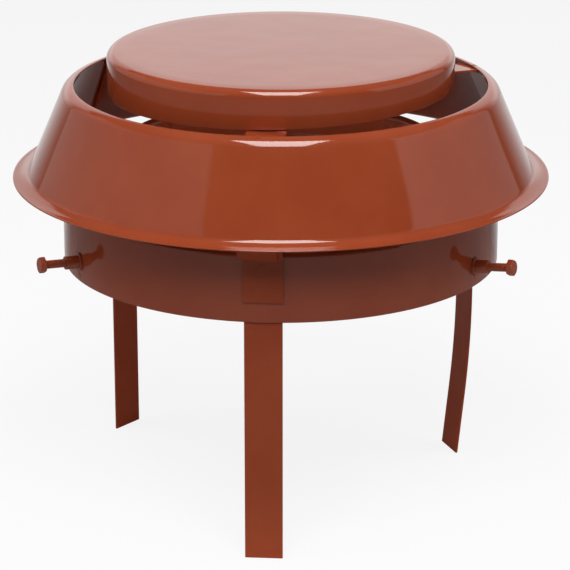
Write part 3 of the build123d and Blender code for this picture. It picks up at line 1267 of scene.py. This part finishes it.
# Where the gloss sees the floor turn white: away from the cowl and towards the back
WHITE_STARTS = 0.4
WHITE_FULL = 0.8
WHITE_WITHIN = radians(28)
WHITE_ENDS = radians(46)
WHITE_IN_GLOSS = 0.8

# Heights between which the backdrop brightens and then dims, and the pale parts' soft edges
BACKDROP_STEPS = (radians(-1), radians(8), radians(11), radians(16.5))
SOFT_EDGE = radians(1.5)

# The lamps, in metres: width and depth, and place
SOFTBOX_SIZE = (0.6, 1.17)
SOFTBOX_PLACE = Vector((0.0, -0.73, 1.4))
KEY_SIZE = (1.5, 1.1)
SIDE_SIZE = (0.8, 0.8)
SIDE_PLACE = Vector((0.9, 0.0, 1.5))
COWL_MIDDLE = Vector((0.0, 0.0, 0.25))


def level_sheet(name, front, back, halves, z, shade):
    """A level sheet, square to the camera, that may widen from its front to its back."""
    front_half, back_half = halves
    mesh = bpy.data.meshes.new(name)
    front_corners = [(-front_half, front, z), (front_half, front, z)]
    back_corners = [(back_half, back, z), (-back_half, back, z)]
    mesh.from_pydata(front_corners + back_corners, [], [(0, 1, 2, 3)])
    mesh.materials.append(floor_material(name, shade))
    sheet = in_scene(name, mesh)
    sheet.rotation_euler.z = CAMERA_AZIMUTH


def floor_material(name, shade):
    """White to the camera, grey to the gloss near the cowl, and a shade to the even light.

    To the gloss it turns white away from the cowl and towards the back.
    """
    paint = settings().paint
    material, tree, shader = new_material(name)
    shader.inputs["Roughness"].default_value = FLOOR_ROUGHNESS
    path = tree.node("ShaderNodeLightPath")
    camera = path.outputs["Is Camera Ray"]
    gloss = tree.maths("MAXIMUM", path.outputs["Is Glossy Ray"], path.outputs["Is Transmission Ray"])
    to_light = tree.mixed(gloss, (*shade, 1), (*paint.studio_floor, 1))
    tree.feed(shader.inputs["Base Color"], tree.mixed(camera, to_light, (*paint.paper, 1)))

    place = tree.node("ShaderNodeSeparateXYZ", tree.node("ShaderNodeTexCoord").outputs["Object"])
    across, back = tree.maths("ABSOLUTE", place.outputs[0]), place.outputs[1]
    aside = tree.maths("ARCTAN2", across, back)
    squares = [tree.maths("MULTIPLY", part, part) for part in (across, back)]
    away = tree.maths("SQRT", tree.maths("ADD", *squares))
    far = tree.ramp(away, WHITE_STARTS, WHITE_FULL, 0.0, WHITE_IN_GLOSS)
    behind = tree.ramp(aside, WHITE_WITHIN, WHITE_ENDS, 1.0, 0.0)
    in_gloss = tree.maths("MULTIPLY", gloss, tree.maths("MULTIPLY", far, behind))
    white_share = tree.maths("MULTIPLY_ADD", camera, WHITE_TO_CAMERA, in_gloss)

    white = tree.node("ShaderNodeEmission")
    mix = tree.node("ShaderNodeMixShader", white_share, shader.outputs[0], white.outputs[0])
    tree.feed(material.node_tree.nodes["Material Output"].inputs["Surface"], mix.outputs[0])
    return material


class COWL_OT_studio(CowlPiece, bpy.types.Operator):
    """Set up the paper, the floor, the lights, the room and the camera"""

    bl_idname = "cowl.studio"
    bl_label = "Studio"

    def execute(self, context):
        paint, reach = settings().paint, FLOOR_REACH
        level_sheet("paper", PAPER_FRONT, PAPER_BACK, PAPER_HALVES, 0.0, paint.paper)
        floor_shade = paint.studio_floor
        level_sheet("studio_floor", -reach, reach, (reach, reach), -FLOOR_BELOW, floor_shade)
        self.make_lamps()
        self.make_room()
        self.make_camera()
        return {"FINISHED"}

    def make_lamp(self, name, place, target, size, watts):
        """A rectangular lamp that faces a target; both turn with the camera's azimuth."""
        data = bpy.data.lights.new(name, "AREA")
        data.shape = "RECTANGLE"
        data.size, data.size_y = size
        data.energy = watts
        lamp = in_scene(name, data)
        turn = Matrix.Rotation(CAMERA_AZIMUTH, 4, "Z")
        facing = (target - place).to_track_quat("-Z", "Y").to_matrix().to_4x4()
        lamp.matrix_world = turn @ Matrix.Translation(place) @ facing
        return lamp

    def make_lamps(self):
        """A softbox that shows in the gloss, and three lamps that give the even light."""
        studio = settings().studio
        below = Vector((SOFTBOX_PLACE.x, SOFTBOX_PLACE.y, 0.0))
        softbox = self.make_lamp("softbox", SOFTBOX_PLACE, below, SOFTBOX_SIZE, studio.top_watts)
        softbox.visible_diffuse = False
        towards_key = Vector((0.0, -cos(studio.key_height), sin(studio.key_height)))
        key_place = COWL_MIDDLE + towards_key * studio.key_distance
        even = [self.make_lamp("key", key_place, COWL_MIDDLE, KEY_SIZE, studio.key_watts)]
        for name, side in (("left_side", -1), ("right_side", 1)):
            place = Vector((side * SIDE_PLACE.x, SIDE_PLACE.y, SIDE_PLACE.z))
            even.append(self.make_lamp(name, place, COWL_MIDDLE, SIDE_SIZE, studio.side_watts))
        for lamp in even:
            lamp.visible_glossy = False

    def make_room(self):
        """The world: white behind, pale screens at the sides and dark round the camera."""
        studio = settings().studio
        world = bpy.data.worlds.new("studio_room")
        bpy.context.scene.world = world
        world.use_nodes = True
        tree = ShaderMaker(world.node_tree)
        view = tree.node("ShaderNodeTexCoord").outputs["Generated"]
        way = tree.node("ShaderNodeSeparateXYZ", view)
        minus_y = tree.maths("MULTIPLY", way.outputs[1], -1.0)
        azimuth, height = tree.maths("ARCTAN2", way.outputs[0], minus_y), way.outputs[2]

        def below(top):
            return tree.ramp(height, sin(top - SOFT_EDGE), sin(top + SOFT_EDGE), 1.0, 0.0)

        screens = tree.maths("MULTIPLY", self.screens(tree, azimuth), below(studio.screen_top))
        backdrop = self.backdrop(tree, azimuth, height)
        backdrop = tree.maths("MULTIPLY", backdrop, below(studio.backdrop_top))
        low, high = sin(studio.backdrop_top), sin(studio.screen_top)
        upwards = tree.ramp(height, low, high, studio.room, studio.ceiling)
        strength = tree.maths("MAXIMUM", tree.maths("ADD", screens, backdrop), upwards)
        camera = tree.node("ShaderNodeLightPath").outputs["Is Camera Ray"]
        lighting = tree.maths("MULTIPLY", strength, tree.maths("SUBTRACT", 1.0, camera))
        background = world.node_tree.nodes["Background"]
        background.inputs["Color"].default_value = (1, 1, 1, 1)
        seen = tree.maths("MULTIPLY_ADD", camera, ROOM_TO_CAMERA, lighting)
        tree.feed(background.inputs["Strength"], seen)

    def screens(self, tree, azimuth):
        """Brightness of the screens at the two sides."""
        studio = settings().studio
        left = tree.span(azimuth, studio.left_end, studio.left_start, SOFT_EDGE)
        right = tree.span(azimuth, studio.right_start, studio.right_end, SOFT_EDGE)
        fade_end = studio.right_start + studio.right_fade
        levels = (studio.right_near, studio.right_far)
        fading = tree.ramp(azimuth, studio.right_start, fade_end, *levels)
        right_lit = tree.maths("MULTIPLY", right, fading)
        return tree.maths("MULTIPLY_ADD", left, studio.left_screen, right_lit)

    def backdrop(self, tree, azimuth, height):
        """Brightness of the backdrop, which is opposite the camera and brightest low down."""
        studio = settings().studio
        right_end, left_end = CAMERA_AZIMUTH + pi, CAMERA_AZIMUTH - pi
        right = tree.ramp(azimuth, right_end - WHITE_ENDS, right_end - WHITE_WITHIN, 0.0, 1.0)
        left = tree.ramp(azimuth, left_end + WHITE_WITHIN, left_end + WHITE_ENDS, 1.0, 0.0)
        foot, low, falls, high = (sin(step) for step in BACKDROP_STEPS)
        rising = tree.ramp(height, foot, low, studio.backdrop_foot, studio.backdrop_low)
        falling = tree.ramp(height, falls, high, studio.backdrop_low, studio.backdrop_high)
        level = tree.maths("MINIMUM", rising, falling)
        return tree.maths("MULTIPLY", tree.maths("ADD", left, right), level)

    def make_camera(self):
        """The camera at the photo's place, and the plain view transform."""
        data = bpy.data.cameras.new("camera")
        data.lens = CAMERA_LENS
        data.sensor_width = CAMERA_SENSOR
        data.clip_end = CAMERA_REACH
        camera = in_scene("camera", data)
        turn = Matrix.Rotation(CAMERA_AZIMUTH, 4, "Z")
        place = Matrix.Translation((0, -CAMERA_DISTANCE, CAMERA_HEIGHT))
        aside = Matrix.Rotation(-CAMERA_ASIDE, 4, "Z")
        tilt = Matrix.Rotation(pi / 2 - CAMERA_PITCH, 4, "X")
        camera.matrix_world = turn @ place @ aside @ tilt
        bpy.context.scene.camera = camera
        bpy.context.scene.view_settings.view_transform = "Standard"


class COWL_PT_panel(bpy.types.Panel):
    """The cowl's pieces and sizes"""

    bl_label = "Chimney cowl"
    bl_idname = "COWL_PT_panel"
    bl_space_type = "VIEW_3D"
    bl_region_type = "UI"
    bl_category = "Cowl"

    def draw(self, context):
        for operator in OPERATORS:
            self.layout.operator(operator.bl_idname)
        cowl = context.scene.cowl
        sizes = (cowl.spinning, cowl.strip, cowl.bent, cowl.screw, cowl.place)
        for group in (*sizes, cowl.paint, cowl.studio):
            box = self.layout.box()
            for name in group.__annotations__:
                box.prop(group, name)


OPERATORS = (
    COWL_OT_studio,
    COWL_OT_base,
    COWL_OT_deflector,
    COWL_OT_cap,
    COWL_OT_legs,
    COWL_OT_clips,
    COWL_OT_straps,
    COWL_OT_spot_welds,
    COWL_OT_bosses,
    COWL_OT_screws,
)
CLASSES = (
    SpinningSizes,
    StripSizes,
    BentLegSizes,
    ScrewSizes,
    Places,
    PaintColours,
    StudioLights,
    CowlSettings,
    *OPERATORS,
    COWL_PT_panel,
)


def register():
    """Registers the cowl's settings, operators and panel."""
    for made in CLASSES:
        bpy.utils.register_class(made)
    bpy.types.Scene.cowl = bpy.props.PointerProperty(type=CowlSettings)


def unregister():
    """Takes them away again."""
    del bpy.types.Scene.cowl
    for made in reversed(CLASSES):
        bpy.utils.unregister_class(made)


def main():
    """Builds the cowl and its studio."""
    register()
    for operator in OPERATORS:
        family, name = operator.bl_idname.split(".")
        getattr(getattr(bpy.ops, family), name)()


if __name__ == "__main__":
    main()
